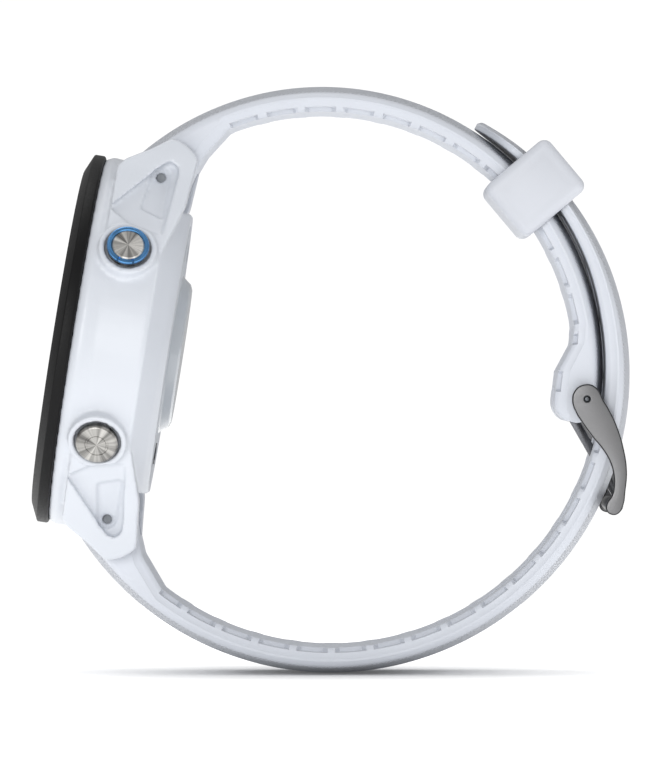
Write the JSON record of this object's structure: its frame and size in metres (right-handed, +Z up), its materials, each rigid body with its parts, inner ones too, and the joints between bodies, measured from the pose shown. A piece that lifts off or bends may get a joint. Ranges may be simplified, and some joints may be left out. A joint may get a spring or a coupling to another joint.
{
  "type": "gps running watch",
  "caption": "Round polymer running watch with push buttons, rear sensor window and a buckled silicone band with sliding keeper.",
  "frame": {"origin": "centre of the wrist opening, on the axis of the case", "axes": "+Y through the wrist opening, away from the side with two buttons; +Z up through 12 o'clock; +X from the case towards the buckle"},
  "size_m": [0.0746, 0.0481, 0.0732],
  "materials": {
    "case_polymer": "moulded, fine matt grain",
    "bezel_polymer": "matt moulded",
    "lens_glass": "polished",
    "display": "dark, off",
    "dark_polymer": "moulded",
    "seal_rubber": "smooth",
    "gold_contact": "gold plated",
    "circuit_board": "solder mask",
    "chip_plastic": "moulded",
    "battery_foil": "laminate foil",
    "plain_steel": "turned",
    "vent_membrane": "membrane",
    "back_polymer": "moulded, matt",
    "sensor_cover": "polished, dark tinted",
    "brushed_button": "circular brushed",
    "blue_anodised": "blue anodised",
    "band_silicone": "satin silicone",
    "keeper_silicone": "satin silicone",
    "blasted_steel": "bead blasted",
    "dark_steel": "dark satin"
  },
  "bodies": {
    "watch": {"case": "case_polymer", "bezel": "bezel_polymer", "lens": "lens_glass", "back_cover": "back_polymer", "sensor_window": "sensor_cover", "charge_socket": "dark_polymer", "short_band": "band_silicone", "long_band": "band_silicone", "upper_bar": "plain_steel", "lower_bar": "plain_steel", "display_panel": "display", "display_frame": "dark_polymer", "front_gasket": "seal_rubber", "antenna_ring": "gold_contact", "main_board": "circuit_board", "board_chips": "chip_plastic", "board_spacers": "gold_contact", "battery": "battery_foil", "motor_can": "plain_steel", "buzzer": "gold_contact", "button_switches": "dark_polymer", "pressure_vent": "vent_membrane", "back_gasket": "seal_rubber", "back_screws": "plain_steel", "sensor_board": "circuit_board", "charge_pins": "gold_contact"},
    "start_button": {"start_cap": "brushed_button", "start_ring": "blue_anodised", "start_seal": "seal_rubber", "start_clip": "plain_steel"},
    "lap_button": {"lap_cap": "brushed_button", "lap_seal": "seal_rubber", "lap_clip": "plain_steel"},
    "light_button": {"light_cap": "brushed_button", "light_seal": "seal_rubber", "light_clip": "plain_steel"},
    "up_button": {"up_cap": "brushed_button", "up_seal": "seal_rubber", "up_clip": "plain_steel"},
    "down_button": {"down_cap": "brushed_button", "down_seal": "seal_rubber", "down_clip": "plain_steel"},
    "motor_weight": {"motor_rotor": "plain_steel"},
    "upper_quick_release": {"upper_release": "plain_steel"},
    "lower_quick_release": {"lower_release": "plain_steel"},
    "buckle": {"buckle_frame": "blasted_steel", "buckle_pin": "plain_steel"},
    "tang": {"buckle_tang": "dark_steel"},
    "keeper_loop": {"keeper": "keeper_silicone"}
  },
  "joints": [
    {"name": "start_press", "type": "slide", "parent": "watch", "child": "start_button", "axis": [-0.0782, 0.866, -0.4938], "range_m": [0, 0.0005], "stiffness_N_per_m": 1500},
    {"name": "lap_press", "type": "slide", "parent": "watch", "child": "lap_button", "axis": [0.0782, 0.866, 0.4938], "range_m": [0, 0.0005], "stiffness_N_per_m": 1500},
    {"name": "light_press", "type": "slide", "parent": "watch", "child": "light_button", "axis": [-0.0782, -0.866, -0.4938], "range_m": [0, 0.0005], "stiffness_N_per_m": 1500},
    {"name": "up_press", "type": "slide", "parent": "watch", "child": "up_button", "axis": [0, -1, 0], "range_m": [0, 0.0005], "stiffness_N_per_m": 1500},
    {"name": "down_press", "type": "slide", "parent": "watch", "child": "down_button", "axis": [0.0782, -0.866, 0.4938], "range_m": [0, 0.0005], "stiffness_N_per_m": 1500},
    {"name": "motor_spin", "type": "hinge", "parent": "watch", "child": "motor_weight", "pos_m": [-0.02486, -0.01478, 0.00029], "axis": [-0.9877, 0, 0.1564], "continuous": true},
    {"name": "upper_release_slide", "type": "slide", "parent": "watch", "child": "upper_quick_release", "axis": [0, -1, 0], "range_m": [0, 0.0017], "stiffness_N_per_m": 300},
    {"name": "lower_release_slide", "type": "slide", "parent": "watch", "child": "lower_quick_release", "axis": [0, -1, 0], "range_m": [0, 0.0017], "stiffness_N_per_m": 300},
    {"name": "buckle_pivot", "type": "hinge", "parent": "watch", "child": "buckle", "pos_m": [0.03062, 0, -0.00224], "axis": [0, -1, 0], "range_deg": [0, 4]},
    {"name": "tang_pivot", "type": "hinge", "parent": "buckle", "child": "tang", "pos_m": [0.03062, 0, -0.00224], "axis": [0, -1, 0], "range_deg": [0, 3]},
    {"name": "keeper_slide", "type": "hinge", "parent": "watch", "child": "keeper_loop", "pos_m": [-0.00208, 0, 0.00177], "axis": [0, -1, 0], "range_deg": [-7, 11]}
  ]
}
